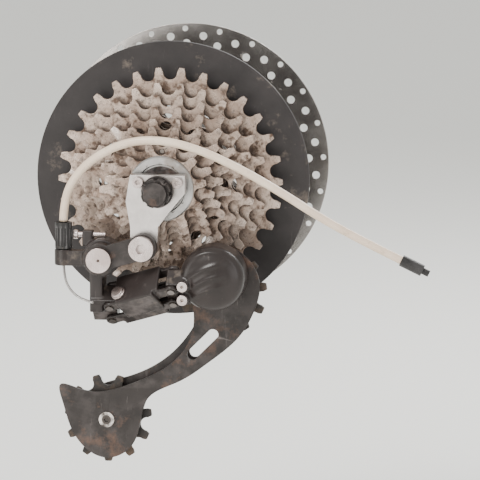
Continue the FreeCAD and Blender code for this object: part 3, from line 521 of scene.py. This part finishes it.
# ---------------------------------------------------------------- curves: housing, wire and springs
HOUSING_ROUTE = [
    (-54.0, -68.0, -18.5), (-53.5, -68.0, -5.0), (-45.5, -68.8, 9.5), (-32.0, -70.5, 20.5),
    (-15.0, -72.5, 27.8), (4.0, -74.0, 28.6), (24.0, -74.5, 23.6), (45.0, -74.0, 14.0),
    (68.0, -72.5, 1.0), (93.0, -71.0, -15.0), (118.0, -70.0, -28.0), (142.0, -69.5, -39.5)]
WIRE_ROUTE = [
    (-54.0, -68.0, -43.2), (-53.5, -68.6, -50.8), (-49.5, -71.5, -57.2), (-43.0, -75.5, -61.0),
    (-35.5, -79.0, -62.2)]


def nurbs_line(name, route, radius):
    curve = bpy.data.curves.new(name, "CURVE")
    curve.dimensions = "3D"
    spline = curve.splines.new("NURBS")
    spline.points.add(len(route) - 1)
    for point, place in zip(spline.points, route):
        point.co = (place[0] * MM, place[1] * MM, place[2] * MM, 1)
    spline.order_u = 3
    spline.use_endpoint_u = True
    curve.resolution_u = 16
    curve.bevel_depth = radius
    curve.bevel_resolution = 6
    curve.use_fill_caps = True
    piece = bpy.data.objects.new(name, curve)
    bpy.context.scene.collection.objects.link(piece)
    return piece


def line_points(route):
    """Close points along the smooth line of a route."""
    guide = nurbs_line("guide", route, 0)
    bpy.context.view_layer.update()
    mesh = bpy.data.meshes.new_from_object(guide.evaluated_get(bpy.context.evaluated_depsgraph_get()))
    points = [v.co.copy() for v in mesh.vertices]
    bpy.data.objects.remove(guide)
    return points


def tube(name, points, radius, sides=20):
    """A capped round tube along points, each ring square to the line."""
    build = bmesh.new()
    side = None
    rings = []
    for index, point in enumerate(points):
        ahead = points[min(index + 1, len(points) - 1)] - points[max(index - 1, 0)]
        ahead.normalize()
        side = ahead.orthogonal() if side is None else side - ahead * side.dot(ahead)
        side.normalize()
        up = ahead.cross(side)
        turns = [2 * math.pi * k / sides for k in range(sides)]
        around = [(side * math.cos(turn) + up * math.sin(turn)) * radius for turn in turns]
        rings.append([build.verts.new(point + out) for out in around])
    for near, far in zip(rings, rings[1:]):
        for k in range(sides):
            build.faces.new((near[k], near[(k + 1) % sides], far[(k + 1) % sides], far[k]))
    build.faces.new(list(reversed(rings[0])))
    build.faces.new(rings[-1])
    mesh = bpy.data.meshes.new(name)
    build.to_mesh(mesh)
    build.free()
    for face in mesh.polygons:
        face.use_smooth = len(face.vertices) == 4
    piece = bpy.data.objects.new(name, mesh)
    bpy.context.scene.collection.objects.link(piece)
    return piece


def make_housing(table):
    points = line_points(HOUSING_ROUTE)
    radius = 2.35 * MM
    housing = tube("shift_housing", points, radius)
    housing.data.materials.append(table["housing_cream"])
    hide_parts("cable_housing")
    ferrule = bevelled("housing_ferrule", 0.25 * MM)
    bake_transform(housing)


def make_wire(table):
    """The bare shift wire: six strands laid round each other."""
    points = line_points(WIRE_ROUTE)
    build = []
    strands = 6
    for strand in range(strands):
        path = []
        side = Vector((0, 1, 0))
        for index, point in enumerate(points):
            ahead = points[min(index + 1, len(points) - 1)] - points[max(index - 1, 0)]
            ahead.normalize()
            side = side - ahead * side.dot(ahead)
            side.normalize()
            angle = strand * 2 * math.pi / strands + index * 0.42
            path.append(point + (side * math.cos(angle) + ahead.cross(side) * math.sin(angle)) * 0.45 * MM)
        build.append(tube("wire_strand_%d" % strand, path, 0.26 * MM, 8))
    wire = join_pieces("shift_wire", build)
    wire.data.materials.append(table["wire_steel"])
    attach(wire, "b_knuckle")
    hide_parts("shift_cable")


def join_pieces(name, pieces):
    build = bmesh.new()
    for piece in pieces:
        build.from_mesh(piece.data)
        bpy.data.objects.remove(piece)
    mesh = bpy.data.meshes.new(name)
    build.to_mesh(mesh)
    build.free()
    piece = bpy.data.objects.new(name, mesh)
    bpy.context.scene.collection.objects.link(piece)
    return piece


def make_spring(name, node, start, end, radius, wire, turns, joined_to=None):
    """A helical spring with closed ends in place of its plain CAD stand-in."""
    start, end = Vector(start), Vector(end)
    along = (end - start).normalized()
    side = along.orthogonal().normalized()
    up = along.cross(side)
    steps = int(turns * 24)
    path = []
    for index in range(steps + 1):
        share = index / steps
        eased = share - math.sin(share * 2 * math.pi) * 0.06
        angle = share * turns * 2 * math.pi
        path.append(start + (end - start) * eased + (side * math.cos(angle) + up * math.sin(angle)) * radius)
    piece = tube(name, path, wire, 10)
    piece.data.materials.append(NODES[node].data.materials[0])
    if joined_to:
        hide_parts(node)
        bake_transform(piece)
    else:
        settle(piece, node)


def make_springs():
    for node, radius, wire, turns in (("skewer_spring", 3.5, 0.4, 3.5), ("b_spring", 6.4, 0.9, 3.5),
                                      ("p_spring", 8.5, 1.0, 3.5)):
        low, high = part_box(node)
        middle = (low + high) / 2
        reach = (high.y - low.y) / 2 - wire * MM
        make_spring(node + "_coil", node, middle - Vector((0, reach, 0)), middle + Vector((0, reach, 0)),
                    radius * MM, wire * MM, turns)
    middle = middle_of(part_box("return_spring"))
    swing = math.radians(-25.1)
    slant = math.sqrt(0.5)
    along = Vector((math.cos(swing), math.sin(swing) * slant, -math.sin(swing) * slant))
    reach = 7.2 * MM
    make_spring("return_spring_coil", "return_spring", middle - along * reach, middle + along * reach,
                2.6 * MM, 0.5 * MM, 9, "outer_link")


SPROCKETS = sorted((n for n in NODES if n.startswith("sprocket")), key=tooth_count)
PLATES = ("derailleur_hanger", "bracket_link", "cage_outer", "cage_inner", "guide_pulley", "tension_pulley",
          "lockring", "skewer_nut", "brake_rotor", "spoke_protector", "axle_locknuts", "barrel_adjuster")
FASTENERS = ("mount_bolt", "b_axle_bolt", "hanger_screws", "limit_screws", "rotor_bolts",
             "cable_anchor_bolt", "pulley_bolts", "b_screw", "axle", "skewer_rod")
# Each casting's node, its voxel in millimetres and its rounds of smoothing.
CASTINGS = (("b_knuckle", 0.45, 8), ("outer_link", 0.45, 7), ("inner_link", 0.45, 6),
            ("hub_shell", 0.6, 5), ("skewer_lever", 0.45, 8), ("skewer_cap", 0.45, 6))

place_camera()
make_studio()
materials = make_materials()
make_housing(materials)
make_wire(materials)
make_springs()
for name in SPROCKETS:
    bevelled(name, 0.16 * MM)
for name in PLATES:
    bevelled(name, 0.3 * MM)
for name in FASTENERS:
    bevelled(name, 0.22 * MM)
for name, voxel, rounds in CASTINGS:
    cast(name, voxel * MM, rounds)
make_front_knuckle()
